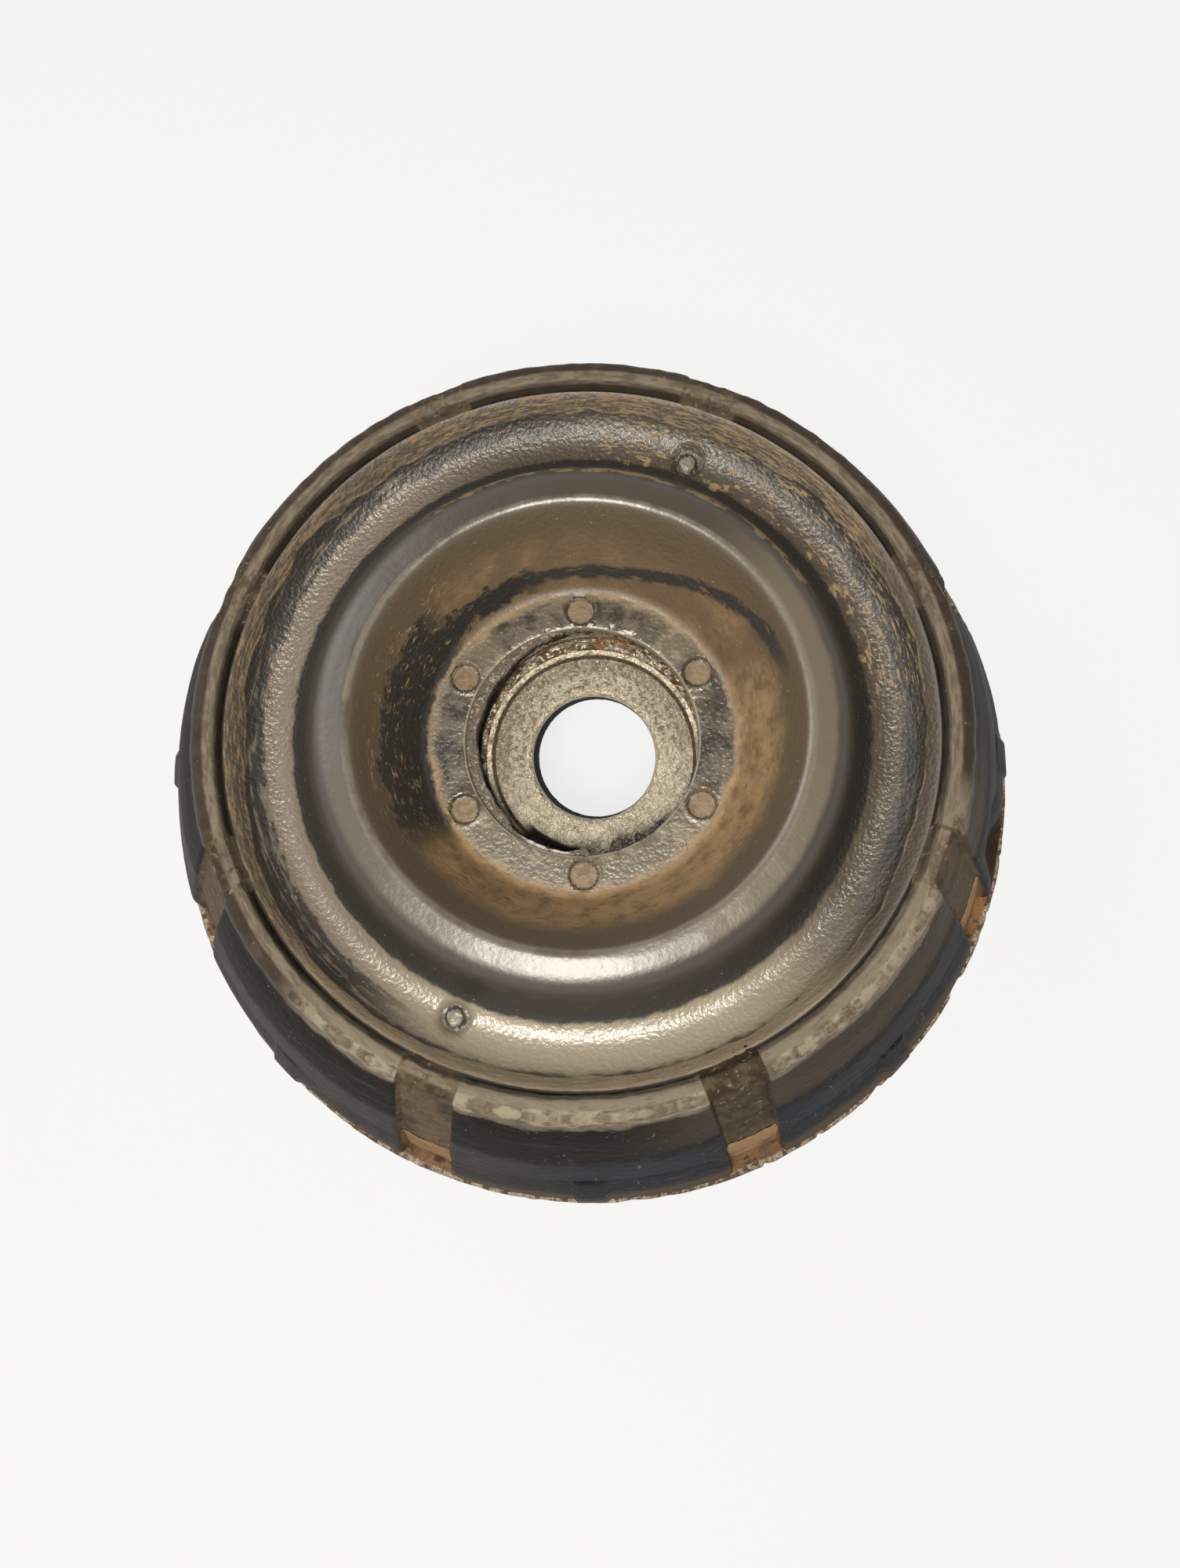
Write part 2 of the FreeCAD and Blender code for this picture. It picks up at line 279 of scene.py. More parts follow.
def makeLobedWall():
    v = wall
    outside = [(54.75, 39.6, 0), (54.75, 40.2, 0.2), (55.35, v["lipTop"], 0.45), (58.4, v["lipTop"], 3.0),
               (69.3, 18.4, 0.25), (68.8, 17.9, 0.2), (72.6, 10.4, 20), (74.3, 2.6, 0.4), (71.9, 2.4, 0)]
    inside = [(71.9, 1.0, 0), (58.8, 1.0, 1.0), (48.8, 25.0, 2.5), (41.1, 37.1, 0)] + sunk(dishTop, 2.0)[4:]
    section = roundedSection(outside, 0.5) + roundedSection(inside, 1.8)
    perPitch = len(notchShares) + 2 * len(edgeRuns) + v["lobeColumns"]
    columns = v["lobes"] * perPitch
    piece = spinPiece("lobed_wall", section, columns)
    angle, radius, height = toPolar(readPoints(piece))
    column = np.round(angle / math.tau * columns).astype(int) % columns
    pitch, inPitch = column // perPitch, column % perPitch
    half = np.arcsin(v["notchHalf"] / radius)
    pitchAngle = math.tau / v["lobes"]
    local, recess = np.zeros_like(angle), np.zeros_like(angle)
    for k in range(perPitch):
        here = inPitch == k
        local[here], recess[here] = placeColumn(k, half[here], pitchAngle, radius[here])
    turned = local + pitch * pitchAngle + math.radians(v["notchStart"])
    outer = (height > 2.3) & (radius > 53.5 + (42.5 - height) * 0.42)
    # notches: let in from the lip downwards, and down to the collar at their foot
    deep = v["notchDepth"] * step(v["lipTop"] - height, 0.4, 3.2) + v["mud"] * ragged(turned * 7, 31, 60)
    below = step(v["bareBelow"] - height, -0.3, 0.5)
    collarSlope = (ring["foot"] - ring["topR"]) / (ring["topZ"] - ring["sheet"])
    collar = ring["foot"] - (height - ring["sheet"]) * collarSlope
    floorR = np.where(height > v["bareBelow"], radius - deep, np.minimum(collar - 0.9 * below, radius))
    newRadius = np.where(outer, radius + (floorR - radius) * recess, radius)
    # nubs at the middle of each lobe's foot
    middle = (local - pitchAngle / 2) * radius
    nub = (1 - step(np.abs(middle), v["nubHalf"] - 0.3, v["nubHalf"] + 0.3)) * step(17.6 - height, 0, 0.5)
    newRadius += np.where(outer, v["nubProud"] * nub * step(height - 3.0, 0, 1.5), 0)
    # the lobes swell a little between their ends, and the rubber has set towards the left
    swell = v["swell"] * step(local, half, half + 0.12) * step(pitchAngle - half - local, 0, 0.12)
    swell = swell * step(height, 17, 26) * (1 - step(height, 34, 41))
    leftwards = v["setLeft"] * np.cos(turned - math.radians(175)) * step(height, 2.6, 12) * (1 - step(height, 30, 42))
    uneven = v["uneven"] * ragged(turned, 8, 40) * step(height, 3, 8) * (1 - step(height, 38, 42))
    newRadius += np.where(outer, swell + leftwards + uneven, 0)
    # one lobe's corner is worn back, and the shoulder is scuffed
    worn = v["cutBack"][1] * within(turned, v["cutBack"][0] - 7, v["cutBack"][0], 3) * step(24 - height, 0, 8)
    scuffed = v["scuff"] * ragged(turned, 9, 260) * step(height, 37.5, 39.5)
    newRadius += np.where(outer & (recess < 0.5), scuffed - worn * step(height, 2.6, 5), 0)
    writePoints(piece, fromPolar(turned, newRadius, height))
    markAs(piece, "notch", np.where(outer, recess, 0))
    roughen(piece, "wallGrain", 1.6, 0.08)
    smoothPiece(piece, 40)
    return piece


# Steel ring under the wall
ring = dict(r=75.0, sheet=2.5, foot=72.0, bend=1.5, topR=68.1, topZ=17.5, chip=0.16, nick=1.3)


def makeFlangedRing():
    v = ring
    outside = [(v["r"], v["sheet"], 0.4), (v["foot"], v["sheet"], v["bend"]), (v["topR"], v["topZ"], 0.4)]
    inside = [(*point[:2], 0.4) for point in sunk(outside, -v["sheet"])]
    inside[1] = (inside[1][0], inside[1][1], v["bend"] + v["sheet"])
    piece = spinPiece("flanged_ring", roundedSection(outside + inside[::-1], 0.55, closed=True), 720)
    angle, radius, height = toPolar(readPoints(piece))
    rim = step(radius, 73.6, 74.6)
    dents = 0.5 + 0.5 * ragged(angle, 11, 300) * step(radius, 74.4, 74.8) + 0.5 * ragged(angle, 12, 50)
    nicks = np.clip(ragged(angle, 13, 180) - 0.55, 0, 1) * within(angle, 275, 355, 8)
    radius -= rim * (v["chip"] * np.clip(dents, 0, 2) + v["nick"] * nicks)
    writePoints(piece, fromPolar(angle, radius, height))
    roughen(piece, "ringGrain", 0.9, 0.08)
    keepInside(piece)
    smoothPiece(piece, 40)
    return piece


# Pressed plate under the skin
plate = dict(skin=1.0, sheet=2.0, edgeR=20.4, outerEdge=(52.3, 38.1))


def makePressedDish():
    v = plate
    path = [(v["edgeR"], floorHeight, 0)] + dishTop[1:-1] + [(*v["outerEdge"], 0)]
    corners = sunk(path, v["skin"]) + sunk(path, v["skin"] + v["sheet"])[::-1]
    piece = spinPiece("pressed_dish", roundedSection(corners, 0.8, closed=True), 288)
    roughen(piece, "plateGrain", 1.2, 0.04)
    smoothPiece(piece, 40)
    return piece


# Steel hub, torn loose: it has sunk, slid and leaned over
hub = dict(r=18.9, bead=17.7, bore=10.1, flange=5.0, boss=13.5, height=10.4, lean=12.5, towards=-97.0,
           place=(1.75, -2.1, 24.3), remains=2.1, lump=0.22)


def hubTurn():
    return Matrix.Rotation(math.radians(hub["lean"]), 4, around(hub["towards"] + 90, 1, 0))


def makeTornHub():
    v = hub
    bead, flangeZ, footZ = v["bead"], -v["flange"], -v["height"]
    corners = [(v["bore"], -0.5, 1.2), (bead - 1.0, -0.35, 0.15), (bead - 0.5, 0.05, 0.2), (bead, 0.05, 0.2),
               (bead + 0.3, -0.4, 0.1), (v["r"], -0.45, 0.8), (v["r"], flangeZ, 0.9), (v["boss"], flangeZ, 0.9),
               (v["boss"], footZ, 0.9), (v["bore"], footZ, 0.3)]
    piece = spinPiece("torn_hub", roundedSection(corners, 0.35, closed=True), 384)
    angle, radius, height = toPolar(readPoints(piece))
    # lumps of torn rubber and pits on the skirt outside the bead
    skirt = step(radius, 17.9, 18.2) * (height > flangeZ + 0.5)
    height += skirt * (v["lump"] * ragged(angle, 15, 120) + 0.12 * ragged(angle, 16, 40))
    # rubber that stayed on the rim where the web tore, at the top
    kept = v["remains"] * within(angle, 40, 135, 22) * (0.85 + 0.15 * ragged(angle, 17, 90))
    radius += np.where(radius > 18.0, kept * step(-0.5 - height, 0, 2.2), 0)
    writePoints(piece, fromPolar(angle, radius, height))
    roughen(piece, "hubGrain", 0.7, 0.12)
    piece.matrix_world = Matrix.Translation(Vector(v["place"]) * mm) @ hubTurn()
    selectOnly(piece)
    bpy.ops.object.transform_apply(location=True, rotation=True, scale=True)
    smoothPiece(piece, 40)
    return piece


# Web of rubber round the hub, torn away on one side
web = dict(tornFrom=275.0, tornTo=100.0, ledgeIn=17.0, ledgeZ=27.7, outerR=19.6, pocketR=21.2, pocketZ=18.9,
           tornR=18.85, boreR=14.0, footZ=12.5, ragged=0.3)


def makeTornWeb():
    v = web
    corners = [(v["outerR"], v["ledgeZ"], 0), (v["ledgeIn"], v["ledgeZ"], 0.35), (v["ledgeIn"], 24.6, 0.4),
               (v["pocketR"], 24.4, 0.4), (v["pocketR"], v["pocketZ"], 1.2), (v["boreR"], v["pocketZ"], 0.8),
               (v["boreR"], v["footZ"], 0.8), (25.0, v["footZ"], 2.0), (27.4, 26.2, 0), (24.5, 26.4, 0),
               (v["outerR"], 26.4, 0)]
    piece = spinPiece("torn_web", roundedSection(corners, 0.45, closed=True), 480)
    angle, radius, height = toPolar(readPoints(piece))
    kept = within(angle, v["tornTo"] + 1, v["tornFrom"] - 2, 2.5) * (0.35 + 0.65 * within(angle, 122, 290, 20))
    kept = np.clip(kept + 0.12 * ragged(angle, 21, 200) * (kept > 0.02) * (kept < 0.98), 0.02, 1)
    kept *= 1 - 0.6 * within(angle, 230, 268, 6)
    edge = v["ragged"] * np.clip(ragged(angle, 22, 70), -0.2, 1) * step(19.5 - radius, 0, 1.5) * (height > 22)
    inPocket = (height > 19.3) & (radius < 21.3) & ((height < 25.5) | (radius < 19.3))
    radius = np.where(inPocket, v["tornR"] + (radius + edge - v["tornR"]) * kept, radius)
    writePoints(piece, fromPolar(angle, radius, height))
    roughen(piece, "tornGrain", 0.8, 0.25)
    smoothPiece(piece, 40)
    return piece


# Strips of rubber that still hang at the edge of the tear, lower right of the hub
flaps = [dict(start=284, end=296, r=17.9, width=1.5, z=27.4, lift=0.7, seed=41),
         dict(start=297.5, end=303, r=18.1, width=1.1, z=27.6, lift=1.0, seed=42),
         dict(start=305, end=315, r=18.2, width=0.8, z=27.8, lift=0.5, seed=43)]


def makeTornFlaps():
    strips = []
    for v in flaps:
        inner, outer, z = v["r"] - v["width"] / 2, v["r"] + v["width"] / 2 + 0.5, v["z"]
        corners = [(inner, z, 0.2), (outer, z + 0.3, 0.2), (outer, z - 0.8, 0.2), (inner, z - 0.5, 0.2)]
        section = roundedSection(corners, 0.2, closed=True)
        bpy.ops.object.select_all(action='DESELECT')
        bpy.ops.mesh.primitive_circle_add(vertices=len(section), radius=mm, fill_type='NGON')
        strip = bpy.context.object
        for vertex, point in zip(strip.data.vertices, section):
            vertex.co = around(v["start"], point[0], point[1]) * mm
        bpy.ops.object.mode_set(mode='EDIT')
        bpy.ops.mesh.select_all(action='SELECT')
        sweep = math.radians(v["end"] - v["start"])
        bpy.ops.mesh.spin(steps=40, angle=sweep, center=(0, 0, 0), axis=(0, 0, 1))
        bpy.ops.mesh.select_all(action='SELECT')
        bpy.ops.mesh.fill_holes(sides=0)
        bpy.ops.object.mode_set(mode='OBJECT')
        angle, radius, height = toPolar(readPoints(strip))
        along = (angle - angle.min()) / sweep        # spin may turn either way
        angle = math.radians(v["start"]) + along * sweep
        taper = np.sqrt(np.clip(1 - np.abs(2 * along - 1) ** 3, 0.02, 1))
        taper *= 1 + 0.35 * ragged(angle * 9, v["seed"], 60)
        centre = v["r"] + 0.5 + 0.3 * ragged(angle * 4, v["seed"] + 7, 50)
        radius = centre + (radius - v["r"] - 0.25) * taper
        lift = v["lift"] * np.sin(along * math.pi) * step(v["r"] + 1 - radius, 0, 1.5)
        height = z + (height - z) * taper + lift
        writePoints(strip, fromPolar(angle, radius, height))
        strips.append(strip)
    bpy.ops.object.select_all(action='DESELECT')
    for strip in strips:
        strip.select_set(True)
    bpy.context.view_layer.objects.active = strips[0]
    bpy.ops.object.join()
    piece = strips[0]
    piece.name = piece.data.name = "torn_flaps"
    bpy.ops.object.mode_set(mode='EDIT')
    bpy.ops.mesh.select_all(action='SELECT')
    bpy.ops.mesh.remove_doubles(threshold=0.002 * mm)
    bpy.ops.mesh.normals_make_consistent(inside=False)
    bpy.ops.object.mode_set(mode='OBJECT')
    roughen(piece, "flapGrain", 0.6, 0.2)
    smoothPiece(piece, 50)
    return piece


# Materials. Small helpers first, then the effects that several finishes share, as node groups
number, vector = 'NodeSocketFloat', 'NodeSocketVector'


def fillInputs(tree, made, inputs):
    for key, value in inputs.items():
        if isinstance(value, bpy.types.NodeSocket):
            tree.links.new(value, made.inputs[key])
        else:
            made.inputs[key].default_value = value


def addNode(tree, kind, inputs=None, **settings):
    made = tree.nodes.new(kind)
    for key, value in settings.items():
        setattr(made, key, value)
    fillInputs(tree, made, inputs or {})
    return made


def calc(tree, operation, *values):
    return addNode(tree, "ShaderNodeMath", dict(enumerate(values)), operation=operation).outputs[0]


def blendColours(tree, factor, under, over):
    return addNode(tree, "ShaderNodeMix", {0: factor, 6: under, 7: over}, data_type='RGBA').outputs[2]


def ramp(tree, value, low, high, outLow=0.0, outHigh=1.0):
    return addNode(tree, "ShaderNodeMapRange", {0: value, 1: low, 2: high, 3: outLow, 4: outHigh},
                   interpolation_type='SMOOTHSTEP').outputs[0]


def noiseOf(tree, where, scale, detail, rough=0.6):
    # scale is in lumps per metre
    return addNode(tree, "ShaderNodeTexNoise", {"Vector": where, "Scale": scale, "Detail": detail,
                                                "Roughness": rough}).outputs["Fac"]


def startGroup(name, inputs, outputs):
    # inputs are labels with their values, None for a place; outputs are labels with their kinds
    group = bpy.data.node_groups.new(name, 'ShaderNodeTree')
    for label, value in inputs.items():
        kind = vector if value is None else number
        socket = group.interface.new_socket(label, in_out='INPUT', socket_type=kind)
        if value is not None:
            socket.default_value = value
    for label, kind in outputs.items():
        group.interface.new_socket(label, in_out='OUTPUT', socket_type=kind)
    return group, group.nodes.new("NodeGroupInput").outputs, group.nodes.new("NodeGroupOutput").inputs


def placeGroup(tree, group, values):
    made = addNode(tree, "ShaderNodeGroup", node_tree=group)
    fillInputs(tree, made, values)
    return made.outputs


# Patterns that run round the axis: every ring of the piece is laid on one small ring, in metres
drawn = dict(ringR=0.012, heightShare=1.7, leastR=0.001)


def makeAroundAxis():
    # where a point is: radius and height in millimetres, turn from 0 to 1, and a place for drawn-out patterns
    group, given, result = startGroup("aroundAxis", {"Where": None}, {
        "Radius": number, "Height": number, "Turn": number, "Along": vector})
    split = addNode(group, "ShaderNodeSeparateXYZ", {0: given["Where"]}).outputs
    squares = calc(group, 'MULTIPLY_ADD', split[0], split[0], calc(group, 'MULTIPLY', split[1], split[1]))
    group.links.new(calc(group, 'MULTIPLY', calc(group, 'SQRT', squares), 1000.0), result["Radius"])
    group.links.new(calc(group, 'MULTIPLY', split[2], 1000.0), result["Height"])
    turn = calc(group, 'MULTIPLY', calc(group, 'ARCTAN2', split[1], split[0]), 1 / math.tau)
    group.links.new(calc(group, 'FRACT', calc(group, 'ADD', turn, 1.0)), result["Turn"])
    out = calc(group, 'MAXIMUM', calc(group, 'SQRT', squares), drawn["leastR"])
    across = calc(group, 'ADD', out, calc(group, 'MULTIPLY', split[2], drawn["heightShare"]))
    circle = [calc(group, 'MULTIPLY', calc(group, 'DIVIDE', split[k], out), drawn["ringR"]) for k in (0, 1)]
    along = addNode(group, "ShaderNodeCombineXYZ", {0: circle[0], 1: circle[1], 2: across}).outputs[0]
    group.links.new(along, result["Along"])
    return group


def makeBrokenBand():
    # 1 between two values of anything, with soft edges that a noise breaks up
    group, given, result = startGroup("brokenBand", {
        "Value": 0.0, "From": 0.0, "To": 1.0, "Soft": 0.5, "Lump": 0.5, "Break": 1.0}, {"Mask": number})
    lump = calc(group, 'SUBTRACT', given["Lump"], 0.5)
    value = calc(group, 'MULTIPLY_ADD', lump, given["Break"], given["Value"])
    low = calc(group, 'SUBTRACT', given["From"], given["Soft"])
    high = calc(group, 'ADD', given["To"], given["Soft"])
    rise = ramp(group, value, low, given["From"])
    fall = ramp(group, value, high, given["To"])
    group.links.new(calc(group, 'MULTIPLY', rise, fall), result["Mask"])
    return group


def makeFlecks():
    # scattered small flecks of dust or bare metal
    group, given, result = startGroup("flecks", {"Where": None, "Count": 700.0, "Size": 0.16, "Share": 0.5}, {
        "Mask": number})
    cells = addNode(group, "ShaderNodeTexVoronoi", {"Vector": given["Where"], "Scale": given["Count"]})
    dots = ramp(group, cells.outputs["Distance"], given["Size"], 0.0)
    some = addNode(group, "ShaderNodeSeparateColor", {0: cells.outputs["Color"]}).outputs[0]
    some = calc(group, 'LESS_THAN', some, given["Share"])
    group.links.new(calc(group, 'MULTIPLY', dots, some), result["Mask"])
    return group


def makeSurfaceGrain():
    # height of a moulded or cast surface: pebbles and fine grain
    group, given, result = startGroup("surfaceGrain", {
        "Where": None, "Pebbles": 1100.0, "Pebble Height": 1.0, "Fine": 4000.0, "Fine Height": 0.3}, {
        "Height": number})
    pebbles = noiseOf(group, given["Where"], given["Pebbles"], 1.0, 0.5)
    pebbles = calc(group, 'MULTIPLY', pebbles, given["Pebble Height"])
    fine = noiseOf(group, given["Where"], given["Fine"], 1.0)
    fine = calc(group, 'MULTIPLY', fine, given["Fine Height"])
    group.links.new(calc(group, 'ADD', pebbles, fine), result["Height"])
    return group


aroundAxis, brokenBand, flecks, surfaceGrain = makeAroundAxis(), makeBrokenBand(), makeFlecks(), makeSurfaceGrain()


def tone(red, green, blue, shade=1.0):
    # a colour as it is read off a screen, turned into Blender's linear values and darkened by a share
    return tuple(shade * ((c / 255 + 0.055) / 1.055) ** 2.4 for c in (red, green, blue)) + (1.0,)


class Finish:
    # one material under construction: a colour and a roughness that layers are laid on
    def __init__(self, name, colour, rough, metal=0.0, shade=1.0, gloss=0.5):
        self.material = bpy.data.materials.new(name)
        self.material.use_nodes = True
        self.tree = self.material.node_tree
        self.shader = self.tree.nodes["Principled BSDF"]
        self.shader.inputs["Metallic"].default_value = metal
        self.shader.inputs["Specular IOR Level"].default_value = gloss
        self.where = addNode(self.tree, "ShaderNodeTexCoord").outputs["Object"]
        self.readPlace()
        self.shade = shade
        self.colour = tone(*colour, shade)
        self.rough = rough

    def readPlace(self):
        place = placeGroup(self.tree, aroundAxis, {"Where": self.where})
        self.radius, self.height, self.turn = place["Radius"], place["Height"], place["Turn"]
        self.along = place["Along"]
        self.noises = {}

    def recentre(self, place, turn):
        # the pattern follows a piece that has been moved and leaned over
        self.where = addNode(self.tree, "ShaderNodeMapping", {
            "Vector": self.where, "Location": place, "Rotation": turn}, vector_type='TEXTURE').outputs[0]
        self.readPlace()

    def noise(self, scale, drawnOut=False):
        # a noise is made once and shared; drawn out, it runs round the axis
        key = (scale, drawnOut)
        if key not in self.noises:
            self.noises[key] = noiseOf(self.tree, self.along if drawnOut else self.where, scale, 3.5, 0.64)
        return self.noises[key]

    def band(self, value, low, high, soft=0.5, broken=1.0, lumps=300):
        return placeGroup(self.tree, brokenBand, {"Value": value, "From": low, "To": high, "Soft": soft,
                                                  "Lump": self.noise(lumps), "Break": broken})["Mask"]

    def sector(self, middle, halfWidth, soft=12.0):
        # 1 within some degrees of a direction
        away = calc(self.tree, 'FRACT', calc(self.tree, 'ADD', self.turn, 1.5 - middle / 360))
        away = calc(self.tree, 'ABSOLUTE', calc(self.tree, 'SUBTRACT', away, 0.5))
        return ramp(self.tree, away, (halfWidth + soft) / 360, halfWidth / 360)

    def patches(self, scale, low, high):
        return ramp(self.tree, self.noise(scale), low, high)

    def streaks(self, scale, low, high):
        # patches drawn out round the axis
        return ramp(self.tree, self.noise(scale, True), low, high)

    def scratches(self, scale):
        # short fine lines that run up the piece
        upright = addNode(self.tree, "ShaderNodeMapping", {"Vector": self.where, "Scale": (1.0, 1.0, 0.12)}).outputs[0]
        return ramp(self.tree, noiseOf(self.tree, upright, scale, 1.0, 0.5), 0.68, 0.74)

    def cracks(self, scale, width):
        # thin wandering lines, where a noise crosses its middle value
        away = calc(self.tree, 'SUBTRACT', noiseOf(self.tree, self.where, scale, 4.0, 0.55), 0.5)
        return ramp(self.tree, calc(self.tree, 'ABSOLUTE', away), width, width * 0.3)

    def times(self, *masks):
        total = masks[0]
        for mask in masks[1:]:
            total = calc(self.tree, 'MULTIPLY', total, mask)
        return total

    def most(self, *masks):
        total = masks[0]
        for mask in masks[1:]:
            total = calc(self.tree, 'MAXIMUM', total, mask)
        return total

    def inverse(self, mask):
        return calc(self.tree, 'SUBTRACT', 1.0, mask)

    def share(self, mask, least):
        # a mask that never falls below a share
        return calc(self.tree, 'MULTIPLY_ADD', mask, 1 - least, least)

    def attribute(self, name):
        return addNode(self.tree, "ShaderNodeAttribute", attribute_name=name).outputs["Fac"]

    def flecks(self, count, size, share):
        return placeGroup(self.tree, flecks, {
            "Where": self.where, "Count": count, "Size": size, "Share": share})["Mask"]

    def layer(self, colour, rough, *masks):
        # lays a colour and a roughness over what is there, where all the masks meet
        mask = self.times(*masks)
        self.colour = blendColours(self.tree, mask, self.colour, tone(*colour, self.shade))
        mixed = addNode(self.tree, "ShaderNodeMix", {0: mask, 2: self.rough, 3: rough}, data_type='FLOAT')
        self.rough = mixed.outputs[0]

    def grain(self, pebbles, pebbleHeight, fine, fineHeight):
        return placeGroup(self.tree, surfaceGrain, {
            "Where": self.where, "Pebbles": pebbles, "Pebble Height": pebbleHeight, "Fine": fine,
            "Fine Height": fineHeight})["Height"]

    def finish(self, height, depth):
        # depth is the bump's full height in millimetres
        self.tree.links.new(self.colour, self.shader.inputs["Base Color"])
        self.tree.links.new(self.rough, self.shader.inputs["Roughness"])
        bump = addNode(self.tree, "ShaderNodeBump", {"Height": height, "Distance": depth * mm})
        self.tree.links.new(bump.outputs[0], self.shader.inputs["Normal"])
        return self.material


def skinFinish():
    f = Finish("dustyRubberSkin", (58, 50, 42), 0.38, shade=0.6, gloss=1.0)
    r = f.radius
    # floor of the bowl: grey and glossy, with black patches where the dust is gone, a painted highlight along its
    # inner edge and a tan rim
    floor = f.band(r, 18.0, 25.0, 0.5, 0.8)
    f.layer((132, 119, 100), 0.34, floor)
    f.layer((158, 143, 116), 0.44, floor, f.patches(300, 0.5, 0.64))
    bare = f.times(f.band(r, 18.6, 24.2, 0.3, 2.2),
                   f.most(f.sector(92, 34, 8), f.sector(8, 26, 8), f.sector(182, 28, 10)))
    f.layer((72, 64, 54), 0.28, bare, f.patches(300, 0.36, 0.62))
    f.layer((214, 200, 172), 0.4, floor, f.flecks(1500, 0.24, 0.2))
    # painted highlight along the floor's inner edge
    f.layer((172, 160, 138), 0.36, f.band(r, 18.0, 19.1, 0.15, 0.5))
    rim = f.times(f.band(r, 24.4, 26.2, 1.4, 3.6, 220), f.inverse(f.sector(8, 20, 10)),
                  f.share(f.patches(300, 0.42, 0.6), 0.35))
    f.layer((176, 148, 106), 0.66, rim)
    # wall of the bowl: golden dust, darker on the left and towards the crest, with painted shade near the crest at the
    # bottom
    bowl = f.band(r, 25.4, 34.3, 0.8, 0.9)
    f.layer((150, 121, 80), 0.58, bowl, f.inverse(f.times(rim, f.patches(220, 0.45, 0.6))))
    golden = f.most(f.sector(318, 70, 40), f.times(f.sector(132, 20, 14), f.band(r, 28.6, 33.4, 0.8, 2.0)))
    f.layer((178, 145, 98), 0.68, bowl, golden)
    f.layer((130, 104, 68), 0.56, bowl, f.patches(90, 0.46, 0.66))
    f.layer((190, 153, 100), 0.68, f.band(r, 25.4, 32.0, 1.0, 3.0, 220), f.sector(285, 60, 30))
    # painted shade along the top of the bowl wall at the bottom, where it faces away from the light, and on the left
    f.layer((92, 73, 50), 0.5, f.band(r, 32.8, 34.5, 1.6, 2.0, 90),
            f.most(f.sector(262, 60, 30), f.sector(180, 34, 16)))
    f.layer((104, 84, 58), 0.55, bowl, f.sector(188, 24, 14), f.patches(220, 0.3, 0.6))
    f.layer((106, 84, 54), 0.66, bowl, f.streaks(1000, 0.5, 0.85))
    f.layer((186, 156, 112), 0.72, bowl, f.sector(318, 80, 30), f.patches(520, 0.5, 0.7))
    f.layer((116, 91, 57), 0.5, bowl, f.patches(300, 0.38, 0.8))
    f.layer((118, 95, 66), 0.55, bowl, f.sector(78, 46, 24), f.share(f.patches(220, 0.3, 0.7), 0.4))
    f.layer((104, 83, 56), 0.5, f.band(r, 32.4, 34.6, 3.2, 3.6, 90))
    f.layer((94, 75, 50), 0.55, bowl, f.streaks(600, 0.56, 0.8))
    f.layer((206, 184, 146), 0.6, bowl, f.flecks(1100, 0.2, 0.14))
    # a dark streak that starts broad on the left, thins over the top and runs out on the right
    drift = calc(f.tree, 'SUBTRACT', r, ramp(f.tree, f.turn, 85 / 360, 15 / 360, 0.0, 5.0))
    arc = f.times(f.band(drift, 27.0, 27.8, 0.5, 1.6), f.sector(102, 78, 16), f.streaks(600, 0.32, 0.44))
    f.layer((38, 31, 24), 0.5, arc)
    f.layer((26, 20, 15), 0.42, f.band(drift, 26.4, 28.2, 0.5, 3.4), f.sector(142, 26, 16))
    flaked = f.times(f.band(r, 25.4, 30.6, 0.8, 4.0), f.sector(178, 30, 14), f.streaks(1000, 0.32, 0.42))
    f.layer((22, 17, 12), 0.42, flaked)
    chips = f.times(f.band(r, 27.0, 32.0, 1.0, 3.0), f.sector(172, 36, 14),
                    f.streaks(1500, 0.56, 0.62), f.patches(520, 0.5, 0.56))
    f.layer((184, 148, 100), 0.8, chips)
    # crest: smooth and grey with painted shade at the top, painted light on the right and a painted highlight along
    # its inner edge, then painted shade on its outer rounding and on the dark slope outside it
    f.layer((112, 100, 85), 0.36, f.band(r, 34.7, 40.2, 0.5, 0.5))
    # painted shade at the top of the crest and painted light on its right
    f.layer((88, 77, 63), 0.38, f.band(r, 34.7, 40.2, 0.5, 0.5), f.sector(95, 70, 40))
    f.layer((134, 121, 101), 0.38, f.band(r, 34.7, 40.2, 0.5, 0.5), f.sector(350, 40, 30))
    # painted shade where the crest rounds down outwards
    f.layer((76, 66, 55), 0.4, f.band(r, 39.4, 41.8, 1.2, 1.0, 220))
    # painted highlight along the crest's inner edge
    f.layer((146, 136, 118), 0.3, f.band(r, 34.8, 35.5, 0.4, 0.3), f.patches(220, 0.3, 0.6))
    slope = f.band(r, 42.0, 44.6, 1.2, 1.0)
    # painted shade on the slope outside the crest
    f.layer((34, 28, 22), 0.5, slope)
    f.layer((160, 136, 100), 0.8, f.band(r, 40.2, 41.2, 0.3, 1.6), f.sector(78, 42, 10), f.streaks(1000, 0.44, 0.56))
    f.layer((190, 172, 146), 0.8, slope, f.flecks(900, 0.17, 0.2))
    # trough: pebbled and shiny, with painted highlights at its bottom and on its left, and dark and tan streaks on its
    # outer side
    trough = f.band(r, 45.4, 51.8, 0.8, 1.6)
    f.layer((98, 86, 71), 0.37, trough)
    f.layer((118, 102, 82), 0.42, trough, f.streaks(600, 0.5, 0.7))
